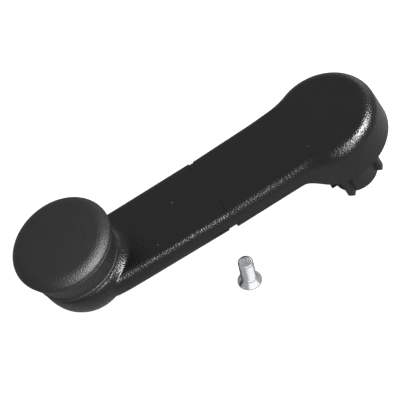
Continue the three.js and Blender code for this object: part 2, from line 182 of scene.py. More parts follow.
def spin_round(axis_x=0.0, steps=96):
    """Spins the drawn line once round an upright axis and closes the seam."""
    bpy.ops.mesh.select_all(action="SELECT")
    bpy.ops.mesh.spin(steps=steps, angle=TURN, center=(axis_x, 0, 0), axis=(0, 0, 1))
    bpy.ops.mesh.select_all(action="SELECT")
    bpy.ops.mesh.remove_doubles(threshold=DOUBLES)
    bpy.ops.mesh.normals_make_consistent(inside=False)


def apply_modifier(piece, kind, **settings):
    """Adds a modifier with these settings and applies it at once."""
    take(piece)
    modifier = piece.modifiers.new(kind.title(), kind)
    for name, value in settings.items():
        setattr(modifier, name, value)
    bpy.ops.object.modifier_apply(modifier=modifier.name)


# %% [markdown]
# When a piece is finished on the bench, one helper smooths it wherever its faces meet at a small
# angle, moves its mesh to the table, gives it its material, hangs it on the moving body it rides
# on and hides the parts of the engineering model that it stands for.

# %% Laying a piece down on the table
def lay_down(piece, body, material, nodes=(), place=HANDLE_PLACE, crease=32):
    """Shades a bench piece, moves its mesh to the table and hands it to its body."""
    take(piece)
    bpy.ops.object.shade_smooth_by_angle(angle=math.radians(crease))
    piece.data.transform(place)
    piece.data.materials.clear()
    piece.data.materials.append(material)
    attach(piece, body)
    if nodes:
        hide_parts(*nodes)
    print(piece.name, len(piece.data.polygons), "faces")


# %% [markdown]
# The plastic of the cover and arm is moulded with a fine leather-like grain. On a real tool the
# grain is etched into the mould. Here a node group makes it out of cells and noise, and several
# materials share it with their own scale and depth. It gives a height for a bump, and a mask
# that makes the hollows a little duller than the tops. The same mask also darkens the colour in
# the hollows, as painted shade, and lightens it on the ridges, as painted light. Broad blotches
# of random tone are mixed into it.

# %% Shared node groups
def new_group(name, inputs, outputs):
    """Makes an empty node group with named inputs and outputs."""
    group = bpy.data.node_groups.new(name, "ShaderNodeTree")
    for label, kind, value in inputs:
        socket = group.interface.new_socket(label, in_out="INPUT", socket_type=kind)
        socket.default_value = value
    for label, kind in outputs:
        group.interface.new_socket(label, in_out="OUTPUT", socket_type=kind)
    return group, group.nodes.new("NodeGroupInput"), group.nodes.new("NodeGroupOutput")


def scaled_coordinates(group, source, label):
    """Object coordinates in metres times a scale given in cells per metre."""
    coordinates = group.nodes.new("ShaderNodeTexCoord")
    scale = group.nodes.new("ShaderNodeVectorMath")
    scale.operation = "SCALE"
    group.links.new(coordinates.outputs["Object"], scale.inputs[0])
    group.links.new(source.outputs[label], scale.inputs["Scale"])
    return scale.outputs[0]


def build_grain():
    """Cells and noise for the moulded grain: a height, and a mask of its hollows."""
    group, source, result = new_group(
        "moulded grain",
        [("Cells per metre", "NodeSocketFloat", 1500.0), ("Blotch", "NodeSocketFloat", 0.35)],
        [("Height", "NodeSocketFloat"), ("Hollow", "NodeSocketFloat")],
    )
    place = scaled_coordinates(group, source, "Cells per metre")
    cells = group.nodes.new("ShaderNodeTexVoronoi")
    cells.feature = "SMOOTH_F1"
    cells.inputs["Scale"].default_value = 1.0
    cells.inputs["Smoothness"].default_value = 0.35
    fine = group.nodes.new("ShaderNodeTexNoise")
    fine.inputs["Scale"].default_value = 2.3
    fine.inputs["Detail"].default_value = 3.0
    broad = group.nodes.new("ShaderNodeTexNoise")
    broad.inputs["Scale"].default_value = 0.06
    for node in (cells, fine, broad):
        group.links.new(place, node.inputs["Vector"])
    flipped = group.nodes.new("ShaderNodeMath")
    flipped.operation = "SUBTRACT"
    flipped.inputs[0].default_value = 1.0
    group.links.new(cells.outputs["Distance"], flipped.inputs[1])
    mixed = group.nodes.new("ShaderNodeMix")
    mixed.inputs["Factor"].default_value = 0.35
    group.links.new(flipped.outputs[0], mixed.inputs["A"])
    group.links.new(fine.outputs["Fac"], mixed.inputs["B"])
    patch = group.nodes.new("ShaderNodeMix")
    group.links.new(source.outputs["Blotch"], patch.inputs["Factor"])
    group.links.new(mixed.outputs["Result"], patch.inputs["A"])
    group.links.new(broad.outputs["Fac"], patch.inputs["B"])
    hollow = group.nodes.new("ShaderNodeMapRange")
    hollow.inputs["From Min"].default_value = 0.35
    hollow.inputs["From Max"].default_value = 0.75
    hollow.inputs["To Min"].default_value = 1.0
    hollow.inputs["To Max"].default_value = 0.0
    group.links.new(patch.outputs["Result"], hollow.inputs["Value"])
    group.links.new(mixed.outputs["Result"], result.inputs["Height"])
    group.links.new(hollow.outputs["Result"], result.inputs["Hollow"])
    return group


def build_dust():
    """A mask of small round specks, one in a few of the cells."""
    group, source, result = new_group(
        "dust specks",
        [("Specks per metre", "NodeSocketFloat", 400.0), ("Share", "NodeSocketFloat", 0.03)],
        [("Mask", "NodeSocketFloat")],
    )
    place = scaled_coordinates(group, source, "Specks per metre")
    spots = group.nodes.new("ShaderNodeTexVoronoi")
    spots.inputs["Scale"].default_value = 1.0
    chance = group.nodes.new("ShaderNodeTexWhiteNoise")
    inside = group.nodes.new("ShaderNodeMath")
    inside.operation = "LESS_THAN"
    inside.inputs[1].default_value = 0.07
    chosen = group.nodes.new("ShaderNodeMath")
    chosen.operation = "LESS_THAN"
    both = group.nodes.new("ShaderNodeMath")
    both.operation = "MULTIPLY"
    group.links.new(place, spots.inputs["Vector"])
    group.links.new(spots.outputs["Position"], chance.inputs["Vector"])
    group.links.new(spots.outputs["Distance"], inside.inputs[0])
    group.links.new(chance.outputs["Value"], chosen.inputs[0])
    group.links.new(source.outputs["Share"], chosen.inputs[1])
    group.links.new(inside.outputs[0], both.inputs[0])
    group.links.new(chosen.outputs[0], both.inputs[1])
    group.links.new(both.outputs[0], result.inputs["Mask"])
    return group


grain_group = build_grain()
dust_group = build_dust()
print("node groups:", [group.name for group in bpy.data.node_groups])


# %% [markdown]
# Three black plastics are needed: a grained one for the arm and cover, a duller and finer one for
# the knob, and a plain one for what the cover hides. The bush in the knob is undyed. All of them
# are the same material with other numbers, so one function makes them. Roughness and bump follow
# the grain. The colour is painted lighter on the grain's ridges and darker, as painted shade, in
# its hollows. A few pale specks of dust break up the black.

# %% Black plastics
# The first tone paints light onto the grain's ridges. The second paints shade into its hollows.
RIDGE_LIGHT_TONE = 1.25
HOLLOW_SHADE_TONE = 0.7
HOLLOW_DULLS = 0.12
DUST_GREY = (0.16, 0.16, 0.155, 1)


def plastic(name, tone, dull, cells, depth, specks=0.015):
    """A moulded plastic whose grain has so many cells to the metre and a depth in millimetres."""
    material = bpy.data.materials.new(name)
    material.use_nodes = True
    nodes, links = material.node_tree.nodes, material.node_tree.links
    shader = nodes["Principled BSDF"]
    grain = nodes.new("ShaderNodeGroup")
    grain.node_tree = grain_group
    grain.inputs["Cells per metre"].default_value = cells
    dust = nodes.new("ShaderNodeGroup")
    dust.node_tree = dust_group
    dust.inputs["Share"].default_value = specks
    # The grain's mask mixes the ridge tone, a painted light, with the darker hollow tone, a painted shade.
    colour = nodes.new("ShaderNodeMix")
    colour.data_type = "RGBA"
    colour.inputs["A"].default_value = (*[c * RIDGE_LIGHT_TONE for c in tone], 1)
    colour.inputs["B"].default_value = (*[c * HOLLOW_SHADE_TONE for c in tone], 1)
    dusted = nodes.new("ShaderNodeMix")
    dusted.data_type = "RGBA"
    dusted.inputs["B"].default_value = DUST_GREY
    roughness = nodes.new("ShaderNodeMapRange")
    roughness.inputs["To Min"].default_value = dull
    roughness.inputs["To Max"].default_value = dull + HOLLOW_DULLS
    bump = nodes.new("ShaderNodeBump")
    bump.inputs["Strength"].default_value = 1.0
    bump.inputs["Distance"].default_value = depth * MM
    links.new(grain.outputs["Hollow"], colour.inputs["Factor"])
    links.new(colour.outputs["Result"], dusted.inputs["A"])
    links.new(dust.outputs["Mask"], dusted.inputs["Factor"])
    links.new(dusted.outputs["Result"], shader.inputs["Base Color"])
    links.new(grain.outputs["Hollow"], roughness.inputs["Value"])
    links.new(roughness.outputs["Result"], shader.inputs["Roughness"])
    links.new(grain.outputs["Height"], bump.inputs["Height"])
    links.new(bump.outputs["Normal"], shader.inputs["Normal"])
    return material


DEEP_BLACK = (0.0006, 0.0006, 0.00063)
BLACK = (0.0012, 0.0012, 0.00125)
CREAM = (0.60, 0.57, 0.49)
grained_black = plastic("grained black plastic", DEEP_BLACK, 0.19, 1600, 0.16)
smooth_black = plastic("smooth black plastic", BLACK, 0.42, 1800, 0.17)
moulded_black = plastic("plain black plastic", BLACK, 0.42, 1800, 0.04)
undyed_plastic = plastic("undyed bush plastic", CREAM, 0.4, 1500, 0.02, specks=0)
print("plastics:", [material.name for material in bpy.data.materials if "plastic" in material.name])


# %% [markdown]
# The metal pieces are plated or machined steel. Real machining leaves fine rings round the axis,
# so the bump comes from noise that is stretched along the ring and squeezed across it. The
# pieces are small and mostly hidden, so one function again serves both metals: a dull steel for
# the turned pieces and a bright zinc plate for the screw.

# %% Steel and zinc plate
LINES_PER_METRE = 6000
LINE_STRETCH = 8
LINE_DEPTH = 0.004
STAIN_TONE = 0.82


def metal(name, tone, dull):
    """A machined metal with fine lines round the upright axis and faint stains."""
    material = bpy.data.materials.new(name)
    material.use_nodes = True
    nodes, links = material.node_tree.nodes, material.node_tree.links
    shader = nodes["Principled BSDF"]
    shader.inputs["Metallic"].default_value = 1.0
    place = nodes.new("ShaderNodeTexCoord")
    stretch = nodes.new("ShaderNodeMapping")
    along = LINES_PER_METRE / LINE_STRETCH
    stretch.inputs["Scale"].default_value = (along, along, LINES_PER_METRE)
    lines = nodes.new("ShaderNodeTexNoise")
    lines.inputs["Scale"].default_value = 1.0
    lines.inputs["Detail"].default_value = 4.0
    stain = nodes.new("ShaderNodeTexNoise")
    stain.inputs["Scale"].default_value = 350.0
    colour = nodes.new("ShaderNodeMix")
    colour.data_type = "RGBA"
    colour.inputs["A"].default_value = (*[c * STAIN_TONE for c in tone], 1)
    colour.inputs["B"].default_value = (*tone, 1)
    roughness = nodes.new("ShaderNodeMapRange")
    roughness.inputs["From Min"].default_value = 0.3
    roughness.inputs["From Max"].default_value = 0.7
    roughness.inputs["To Min"].default_value = dull * 0.8
    roughness.inputs["To Max"].default_value = dull * 1.3
    bump = nodes.new("ShaderNodeBump")
    bump.inputs["Strength"].default_value = 1.0
    bump.inputs["Distance"].default_value = LINE_DEPTH * MM
    links.new(place.outputs["Object"], stretch.inputs["Vector"])
    links.new(stretch.outputs["Vector"], lines.inputs["Vector"])
    links.new(place.outputs["Object"], stain.inputs["Vector"])
    links.new(stain.outputs["Fac"], colour.inputs["Factor"])
    links.new(colour.outputs["Result"], shader.inputs["Base Color"])
    links.new(lines.outputs["Fac"], roughness.inputs["Value"])
    links.new(roughness.outputs["Result"], shader.inputs["Roughness"])
    links.new(lines.outputs["Fac"], bump.inputs["Height"])
    links.new(bump.outputs["Normal"], shader.inputs["Normal"])
    return material


turned_steel = metal("turned steel", (0.50, 0.51, 0.52), 0.34)
bright_zinc = metal("bright zinc plate", (0.80, 0.81, 0.83), 0.22)
print("metals:", turned_steel.name, "and", bright_zinc.name)

# %% [markdown]
# ## The knob
# The cap is a shallow lid with a soft rim. A lid like this is round, so half of its section is
# drawn as a line, the rim's corner is rounded, and the line is spun round the knob's axis. A
# sphere or a squashed cylinder would give a rim that is too full or too thin.

# %% Cap of the knob
KNOB_X = 106.0
PAD_TOP = 41.6
KNOB_FOOT = PAD_TOP + 0.6
CAP_FOOT = KNOB_FOOT + 12.4
KNOB_SEAM = CAP_FOOT - 0.04
CAP_TOP = CAP_FOOT + 4.3
CAP_RADIUS = 20.05
CROWN_RADIUS = 10.0
RIM_WIDTH = 2.6
CAP_WALL = 1.9
SNAP_RADIUS = CAP_RADIUS - RIM_WIDTH
SNAP_DEPTH = 2.6
SNAP_WALL = 1.5


def at_knob(points):
    """Points of (radius, height) round the axis of the knob."""
    return [(KNOB_X + radius, height) for radius, height in points]


cap_line = at_knob([
    (0, CAP_TOP), (CROWN_RADIUS, CAP_TOP - 0.15), (CAP_RADIUS - RIM_WIDTH, CAP_TOP - 0.75),
    (CAP_RADIUS, CAP_TOP - 3.2), (CAP_RADIUS, CAP_FOOT), (SNAP_RADIUS, CAP_FOOT),
    (SNAP_RADIUS, CAP_FOOT - SNAP_DEPTH), (SNAP_RADIUS - SNAP_WALL, CAP_FOOT - SNAP_DEPTH),
    (SNAP_RADIUS - SNAP_WALL, CAP_TOP - CAP_WALL - 0.45), (0, CAP_TOP - CAP_WALL),
])
knob_cap = draw_line("knob_lid", cap_line, rounds={1: 4.0, 2: 1.9, 3: 0.75, 4: 0.3}, segments=8)
spin_round(KNOB_X, 128)
lay_down(knob_cap, "knob", smooth_black, ["knob_cap"])

# %% [markdown]
# Under the lid sits the body of the knob, a cup that narrows towards its foot and ends in a low
# bead, which catches a thin line of light. It is drawn and spun in the same way, this time as a
# closed line, because the pin's bush runs through it.

# %% Body of the knob
FOOT_RADIUS = 17.2
BEAD_RADIUS = 17.4
BEAD_TOP = KNOB_FOOT + 1.2
BUSH_BORE = 5.9
KNOB_HUB_RADIUS = 7.6
KNOB_HUB_FOOT = KNOB_FOOT + 0.3
KNOB_HUB_TOP = KNOB_FOOT + 9.7
CUP_FLOOR = KNOB_FOOT + 1.2
CUP_WALL = 2.0
SNAP_GAP = 0.3
body_line = at_knob([
    (BUSH_BORE, KNOB_HUB_FOOT), (KNOB_HUB_RADIUS, KNOB_HUB_FOOT),
    (KNOB_HUB_RADIUS, CUP_FLOOR), (FOOT_RADIUS - CUP_WALL, CUP_FLOOR),
    (FOOT_RADIUS - CUP_WALL - 0.2, KNOB_FOOT),
    (BEAD_RADIUS, KNOB_FOOT), (BEAD_RADIUS, BEAD_TOP), (BEAD_RADIUS - 0.5, BEAD_TOP + 0.6),
    (CAP_RADIUS, KNOB_SEAM), (SNAP_RADIUS + SNAP_GAP, KNOB_SEAM),
    (SNAP_RADIUS + SNAP_GAP, KNOB_SEAM - SNAP_DEPTH - SNAP_GAP),
    (FOOT_RADIUS - CUP_WALL + 0.2, CUP_FLOOR + CUP_WALL), (KNOB_HUB_RADIUS, CUP_FLOOR + CUP_WALL),
    (KNOB_HUB_RADIUS, KNOB_HUB_TOP), (BUSH_BORE, KNOB_HUB_TOP),
])
body_rounds = {5: 0.3, 6: 0.35, 7: 0.4, 8: 0.3}
knob_body = draw_line("knob_cup", body_line, rounds=body_rounds, segments=6, closed=True)
spin_round(KNOB_X, 128)
lay_down(knob_body, "knob", smooth_black, ["knob_body"])

# %% [markdown]
# ## The lever
# The bare half of the arm grows out of a bowl-shaped pad under the knob, and the two flow into
# each other with a hollow fillet. A boolean of a bar and a bowl would leave a hard corner there.
# A subdivision surface does it better: a coarse sixteen-sided bowl is made, the faces towards
# the hub are taken out of its wall, and the edge of that opening is drawn out along the arm.
# The smoothing then rounds bowl, fillet and arm in one go. The rows near the top of the bowl
# draw in a little, which gives it the soft rim that shines beside the knob.

# %% A coarse bowl
ARM_TOP = 38.6
ARM_BOTTOM = 30.0
PAD_FOOT = 26.0
CAGE = 1.026
PAD_RADIUS = 17.0
LOW_ROW = 31.1
HIGH_ROW = 34.3
SIDE_ROWS = {LOW_ROW: 15.9, HIGH_ROW: 16.8, ARM_TOP: 17.15, 40.4: 16.9, 41.2: 16.4}
BOWL_RINGS = [(ARM_BOTTOM, 15.3), (28.2, 14.4), (26.6, 13.0), (PAD_FOOT, 10.6), (PAD_FOOT, 9.6)]
RIM_SHARES = (0.93, 0.96)


def scale_ring(share, height):
    """Draws the picked ring of the bowl in or out, round the axis of the knob."""
    scale_about((share, share, 1), (KNOB_X, 0, height))


lever = start(
    "arm_and_pad", bpy.ops.mesh.primitive_cylinder_add, vertices=16, radius=PAD_RADIUS * CAGE,
    depth=PAD_TOP - ARM_BOTTOM, location=(KNOB_X, 0, (PAD_TOP + ARM_BOTTOM) / 2),
    end_fill_type="NOTHING",
)
for height in SIDE_ROWS:
    bpy.ops.mesh.select_all(action="SELECT")
    bpy.ops.mesh.bisect(plane_co=(0, 0, height), plane_no=(0, 0, 1))
for height, radius in SIDE_ROWS.items():
    pick("VERT", lambda place, _: near(place.z, height))
    scale_ring(radius / PAD_RADIUS, height)
pick("EDGE", lambda place, _: near(place.z, ARM_BOTTOM))
scale_ring(BOWL_RINGS[0][1] / PAD_RADIUS, ARM_BOTTOM)
for (height, radius), (lower, smaller) in zip(BOWL_RINGS, BOWL_RINGS[1:]):
    extrude_edges((0, 0, lower - height))
    scale_ring(smaller / radius, lower)
bpy.ops.mesh.edge_face_add()
pick("EDGE", lambda place, _: near(place.z, PAD_TOP))
scale_ring(RIM_SHARES[0], PAD_TOP)
extrude_edges((0, 0, 0))
scale_ring(RIM_SHARES[1], PAD_TOP)
bpy.ops.mesh.edge_face_add()
print("the coarse bowl has", len(bmesh.from_edit_mesh(lever.data).faces), "faces")

# %% [markdown]
# The arm starts at the opening in the bowl's wall. Each step takes the edge of the opening a
# little further towards the hub: first a close step, which keeps the fillet tight, then long
# ones, flattened so that every cross-section is upright and has the arm's width at that place.

# %% Drawing the arm out of the bowl
HUB_SIDE = 16.9
TAPER = 0.00943
SKEW = math.radians(5.3)
SHOULDER = 51.6
SHOULDER_STEP = 1.6
OPENING_TURN = math.radians(112.4)
TOP_REACH = 1.15
CLOSE_STEP = 1.12
ARM_SECTIONS = [(79.0, 0), (69.0, 0), (58.0, SKEW / 2), (SHOULDER + SHOULDER_STEP, SKEW / 2)]
ROW_SHARES = {ARM_BOTTOM: 0.985, LOW_ROW: 1.005, HIGH_ROW: 1.02, ARM_TOP: 0.965}


def side_at(x):
    """Half the width of the arm, which tapers a little towards the knob."""
    return HUB_SIDE - TAPER * x


def turn_from_knob(place):
    return abs(math.atan2(place.y, place.x - KNOB_X))


pick("FACE", lambda place, _: ARM_BOTTOM < place.z < ARM_TOP and turn_from_knob(place) > OPENING_TURN)
bpy.ops.mesh.delete(type="FACE")


def fit_width(target):
    """Sets the half width of the open end of the arm, row by row."""
    corners = bmesh.from_edit_mesh(lever.data).verts
    open_end = {corner.index: corner.co.copy() for corner in corners if corner.select}
    for row, share in ROW_SHARES.items():
        widest = max(abs(place.y) for place in open_end.values() if near(place.z, row))
        pick("VERT", lambda place, item: item.index in open_end and near(place.z, row))
        scale_about((1, target * share / widest, 1), (0, 0, row))
    pick("VERT", lambda _, item: item.index in open_end)
    bpy.ops.mesh.select_mode(type="EDGE")


pick("VERT", lambda place, corner: corner.is_boundary and near(place.z, ARM_TOP))
scale_about((TOP_REACH, 1, 1), (KNOB_X, 0, ARM_TOP))
pick("EDGE", lambda _, edge: edge.is_boundary)
extrude_edges((0, 0, 0))
scale_about((CLOSE_STEP, 1, 1), (KNOB_X, 0, ARM_TOP))
fit_width(side_at(KNOB_X - PAD_RADIUS))
pick("EDGE", lambda _, edge: edge.is_boundary)
for x, skew in ARM_SECTIONS:
    extrude_edges((0, 0, 0))
    scale_about((0, 1, 1), (x, 0, ARM_TOP))
    fit_width(side_at(x))
    pick("EDGE", lambda _, edge: edge.is_boundary)
    if skew:
        bpy.ops.transform.rotate(value=-skew, orient_axis="Z", center_override=(x, 0, ARM_TOP))
extrude_edges((-SHOULDER_STEP, 0, 0))
print("open end at x", round(min(v.co.x for v in bmesh.from_edit_mesh(lever.data).verts), 2))

# %% [markdown]
# At the joint the arm steps in a little, so a narrow strip shows between the two halves. The
# edge of the step is creased to stay crisp through the smoothing, but not quite sharp: a moulded
# edge always has a small radius, and it is what catches the light.

# %% Step at the joint, end of the arm and smoothing
COVER_LENGTH = 49.1
STRIP_DEPTH = 0.35
SHOULDER_CREASE = 0.6

bpy.ops.transform.edge_crease(value=SHOULDER_CREASE)
arm_middle = (ARM_TOP + ARM_BOTTOM) / 2
side = side_at(SHOULDER)
extrude_edges((0, 0, 0))
narrower = (1, 1 - STRIP_DEPTH / side, 1 - 2 * STRIP_DEPTH / (ARM_TOP - ARM_BOTTOM))
scale_about(narrower, (SHOULDER, 0, arm_middle))
bpy.ops.transform.edge_crease(value=1)
for step in (0.8, SHOULDER - COVER_LENGTH, 1.6):
    extrude_edges((-step, 0, 0))
bpy.ops.transform.edge_crease(value=1)
bpy.ops.mesh.edge_face_add()
bpy.ops.mesh.select_all(action="SELECT")
bpy.ops.mesh.normals_make_consistent(inside=False)
apply_modifier(lever, "SUBSURF", levels=3, render_levels=3)
print("lever", len(lever.data.polygons), "faces")


# %% [markdown]
# Seen from below the lever is hollow, as a moulding of even wall has to be, or it would sink in
# as it cools. Pockets and holes are cut out with tools that are bodies themselves: a boolean
# takes the tool's shape away from the piece, and the tool is then thrown away. Every tool runs on
# a little past the piece, because two faces in one plane would confuse the boolean.

# %% Cutting tools
PAST = 2.0


def cut(piece, tool):
    """Takes the tool's shape away from the piece."""
    apply_modifier(piece, "BOOLEAN", object=tool, operation="DIFFERENCE", solver="EXACT")
    bpy.data.objects.remove(tool)


def upright_hole(name, radius, bottom, top, x=0, sides=96):
    """A cylinder that is only there to be cut out of a piece."""
    return start(
        name, bpy.ops.mesh.primitive_cylinder_add, vertices=sides, radius=radius,
        depth=top - bottom, location=(x, 0, (top + bottom) / 2),
    )


# %% [markdown]
# Two rows of pockets lie under the arm, on both sides of a middle rib. Each is cut with a block
# whose upright edges and upper rim are rounded, because a sharp inner corner would crack. A loop
# places the blocks, as wide as the tapered arm allows at each place.

# %% Pockets under the arm
ARM_WALL = 2.4
RIB = 1.8
POCKETS = 4
POCKET_CORNER = 0.8
POCKET_RIM = 0.5
BELOW = 20.0  # a level well below the lever, where its cutting tools begin
pocket_start = SHOULDER + HUB_SIDE * math.tan(SKEW) + ARM_WALL
pocket_end = KNOB_X - PAD_RADIUS - ARM_WALL
pitch = (pocket_end - pocket_start + RIB) / POCKETS
pocket_roof = ARM_TOP - ARM_WALL
for i in range(POCKETS):
    from_x = pocket_start + i * pitch
    size = Vector((pitch - RIB, side_at(from_x) - ARM_WALL - RIB / 2, pocket_roof - BELOW))
    for hand in (1, -1):
        block = start("pocket", bpy.ops.mesh.primitive_cube_add, size=1)
        bpy.ops.transform.resize(value=size)
        middle = (from_x + size.x / 2, hand * (RIB / 2 + size.y / 2), BELOW + size.z / 2)
        bpy.ops.transform.translate(value=middle)
        pick("EDGE", lambda _, edge: abs((edge.verts[1].co - edge.verts[0].co).z) > 1)
        bpy.ops.mesh.bevel(offset=POCKET_CORNER, segments=4)
        pick("EDGE", lambda place, _: near(place.z, pocket_roof))
        bpy.ops.mesh.bevel(offset=POCKET_RIM, segments=3)
        cut(lever, block)
print("lever with its pockets has", len(lever.data.polygons), "faces")

# %% [markdown]
# Under the pad the pockets stand in a ring, between ribs that run out from the boss of the pin.
# Each cutting tool is an upright sheet, swept round the boss by a spin. Two cylinders then cut
# the recess for the riveted end of the pin and the hole that it passes through.

# %% Ring of pockets under the pad
BOSS_RADIUS = 6.2
RING_RADIUS = 9.2
PAD_RIBS = 6
PIN_RECESS = PAD_FOOT + 2.6
TAIL_HOLE = 3.3
sector = TURN / PAD_RIBS - RIB / ((BOSS_RADIUS + RING_RADIUS) / 2)
ring_roof = PAD_TOP - ARM_WALL
for i in range(PAD_RIBS):
    wedge = start("ring_pocket", bpy.ops.mesh.primitive_plane_add, size=1)
    bpy.ops.transform.rotate(value=math.pi / 2, orient_axis="X", center_override=(0, 0, 0))
    bpy.ops.transform.resize(value=(RING_RADIUS - BOSS_RADIUS, 1, ring_roof - BELOW))
    bpy.ops.transform.translate(value=((RING_RADIUS + BOSS_RADIUS) / 2, 0, (ring_roof + BELOW) / 2))
    bpy.ops.mesh.spin(steps=10, angle=sector, center=(0, 0, 0), axis=(0, 0, 1))
    bpy.ops.mesh.select_all(action="SELECT")
    bpy.ops.mesh.normals_make_consistent(inside=False)
    bpy.ops.transform.rotate(
        value=(i + 0.5) * TURN / PAD_RIBS - sector / 2, orient_axis="Z", center_override=(0, 0, 0)
    )
    bpy.ops.transform.translate(value=(KNOB_X, 0, 0))
    cut(lever, wedge)
cut(lever, upright_hole("pin_recess", BOSS_RADIUS + 0.3, BELOW, PIN_RECESS, KNOB_X))
cut(lever, upright_hole("pin_hole", TAIL_HOLE, BELOW, PAD_TOP + PAST, KNOB_X, 48))
lay_down(lever, "crank", grained_black, ["crank_arm"])

# %% [markdown]
# ## The cover
# The cover is one moulded shell: a dome over the hub that runs through hollow necks into a
# channel over the arm. Its top falls gently from the dome to the arm, and its lower edge steps
# down round the hub. Both heights are formulas of the place along the arm, so that the levels
# of the shell can follow them.

# %% Heights of the cover
HUB_HEIGHT = 41.2
SKIRT_Z = HUB_HEIGHT - 16.4
SLOPE = 0.032
DOME_RADIUS = 20.8
SKIRT_RADIUS = 21.18
NECK_FILLET = 21.0
DOME_EDGE = Vector((4.6, 5.2))
ARM_EDGE = Vector((2.9, 4.2))
DOME_FALL = (3, 27)
SKIRT_FALL = (9, 19)


def blend(x, start_x, end_x):
    """1 before the start, 0 after the end and smooth between."""
    share = min(max((x - start_x) / (end_x - start_x), 0), 1)
    return 1 - share * share * (3 - 2 * share)


def arm_rise(x):
    """How much the cover's arm stands higher than the bare arm, towards the hub."""
    return SLOPE * max(0, SHOULDER - x)


def top_at(x):
    share = blend(x, *DOME_FALL)
    return (ARM_TOP + arm_rise(x)) * (1 - share) + HUB_HEIGHT * share


def lower_edge_at(x):
    share = blend(x, *SKIRT_FALL)
    return (ARM_BOTTOM + arm_rise(x)) * (1 - share) + SKIRT_Z * share


print("the wall of the hub is", round(top_at(0) - lower_edge_at(0), 2), "mm high")

# %% [markdown]
# All plan outlines of the cover are two straight sides and three arcs, so each level of the shell
# is drawn as one line, with straight steps and three spins. It starts a little beyond the joint,
# where the cover is cut off later. Every corner is then lifted to the height of the shell there.

# %% One level of the cover
COVER_END = COVER_LENGTH + HUB_SIDE * math.tan(SKEW) + 0.6
ARM_STEPS = 10
NECK_STEPS = 12
HUB_STEPS = 72
SLANT = math.atan(TAPER)


def cover_level(radius, inset, height_at):
    """Draws one plan outline of the cover in the open mesh, at its heights."""
    side, fillet = HUB_SIDE - inset, NECK_FILLET + inset
    across = fillet + side * math.cos(SLANT)
    along = math.sqrt((radius + fillet) ** 2 - across**2)
    lean, slip = math.cos(SLANT), math.sin(SLANT)
    neck = Vector((across * slip + along * lean, across * lean - along * slip, 0))
    meeting = math.atan2(neck.y, neck.x)
    neck_turn = math.pi / 2 - meeting - SLANT
    straight = neck.x - fillet * math.sin(SLANT) - COVER_END
    step = Vector((straight / ARM_STEPS, -TAPER * straight / ARM_STEPS, 0))
    first = len(bmesh.from_edit_mesh(bpy.context.object.data).verts)
    bpy.ops.mesh.select_mode(type="VERT")
    bpy.ops.mesh.primitive_plane_add(size=1)
    bpy.ops.mesh.merge(type="CENTER")
    bpy.ops.transform.translate(value=(COVER_END, side - TAPER * COVER_END, 0))
    for _ in range(ARM_STEPS):
        bpy.ops.mesh.extrude_vertices_move(TRANSFORM_OT_translate={"value": step})
    up = (0, 0, 1)
    bpy.ops.mesh.spin(steps=NECK_STEPS, angle=neck_turn, center=neck, axis=up)
    bpy.ops.mesh.spin(steps=HUB_STEPS, angle=2 * meeting - TURN, center=(0, 0, 0), axis=up)
    bpy.ops.mesh.spin(steps=NECK_STEPS, angle=neck_turn, center=(neck.x, -neck.y, 0), axis=up)
    for _ in range(ARM_STEPS):
        bpy.ops.mesh.extrude_vertices_move(TRANSFORM_OT_translate={"value": (-step.x, step.y, 0)})
    mesh = bmesh.from_edit_mesh(bpy.context.object.data)
    mesh.verts.ensure_lookup_table()
    line = mesh.verts[first:]
    for corner in line:
        corner.co.z = height_at(corner.co.x)
    bmesh.update_edit_mesh(bpy.context.object.data)
    return first, len(line)


# %% [markdown]
# The first level is the lower edge, and the second lies as high as the lips will reach. The
# others climb round the upper edge, as a quarter of an ellipse that is larger at the dome than on
# the arm. Bridging each level with the next one makes the skin.

# %% Bridging the levels
EDGE_STEPS = 10
LIP_HEIGHT = 1.3
SKIRT_DRAFT = 0.06


def bridge_lines(*lines, **settings):
    """Bridges two lines, each given by its first corner and its number of corners."""
    pick("VERT", lambda _, item: any(first <= item.index < first + count for first, count in lines))
    bpy.ops.mesh.select_mode(type="EDGE")
    bpy.ops.mesh.bridge_edge_loops(**settings)


cover = start("hub_cover_shell", bpy.ops.mesh.primitive_plane_add, size=1)
bpy.ops.mesh.delete(type="VERT")
levels = [cover_level(SKIRT_RADIUS, 0, lower_edge_at)]
levels.append(cover_level(SKIRT_RADIUS - SKIRT_DRAFT, 0, lambda x: lower_edge_at(x) + LIP_HEIGHT))
for i in range(EDGE_STEPS + 1):
    turn = math.pi / 2 * i / EDGE_STEPS

    def height_at(x):
        edge = ARM_EDGE.lerp(DOME_EDGE, blend(x, *DOME_FALL))
        return top_at(x) - edge.y * (1 - math.sin(turn))

    inward = 1 - math.cos(turn)
    levels.append(cover_level(DOME_RADIUS - DOME_EDGE.x * inward, ARM_EDGE.x * inward, height_at))
for low, high in zip(levels, levels[1:]):
    bridge_lines(low, high)
print(len(levels), "levels of", levels[0][1], "corners")

# %% [markdown]
# The hole that is left in the top is closed by bridging its two sides, so that the rows of faces
# run straight across and keep the gentle fall from the dome to the arm. One big face would
# shade badly there. Then the skin gets its wall, a lip grows inwards along each side, and the end
# is cut along the slanted joint.

# %% Top, wall, lips and joint
COVER_WALL = 2.0
LIP_START = 25.0
LIP_WIDTH = 1.4
first, count = levels[-1]
half = (count - 1) // 2
bridge_lines((first, half), (first + half + 1, half), number_cuts=8, interpolation="LINEAR")
pick("VERT", lambda _, item: item.index in (first + half - 1, first + half, first + half + 1))
bpy.ops.mesh.edge_face_add()
bpy.ops.mesh.select_all(action="SELECT")
bpy.ops.mesh.normals_make_consistent(inside=False)
apply_modifier(cover, "SOLIDIFY", thickness=COVER_WALL, offset=-1, use_even_offset=True)
bpy.ops.object.mode_set(mode="EDIT")


def on_inner_wall(place, face):
    """Tells whether a face lies low on the inside of the cover's straight sides."""
    inside = side_at(place.x) - abs(place.y)
    low = place.z < lower_edge_at(place.x) + LIP_HEIGHT
    return place.x > LIP_START and low and inside > COVER_WALL * 0.9 and abs(face.normal.y) > 0.7


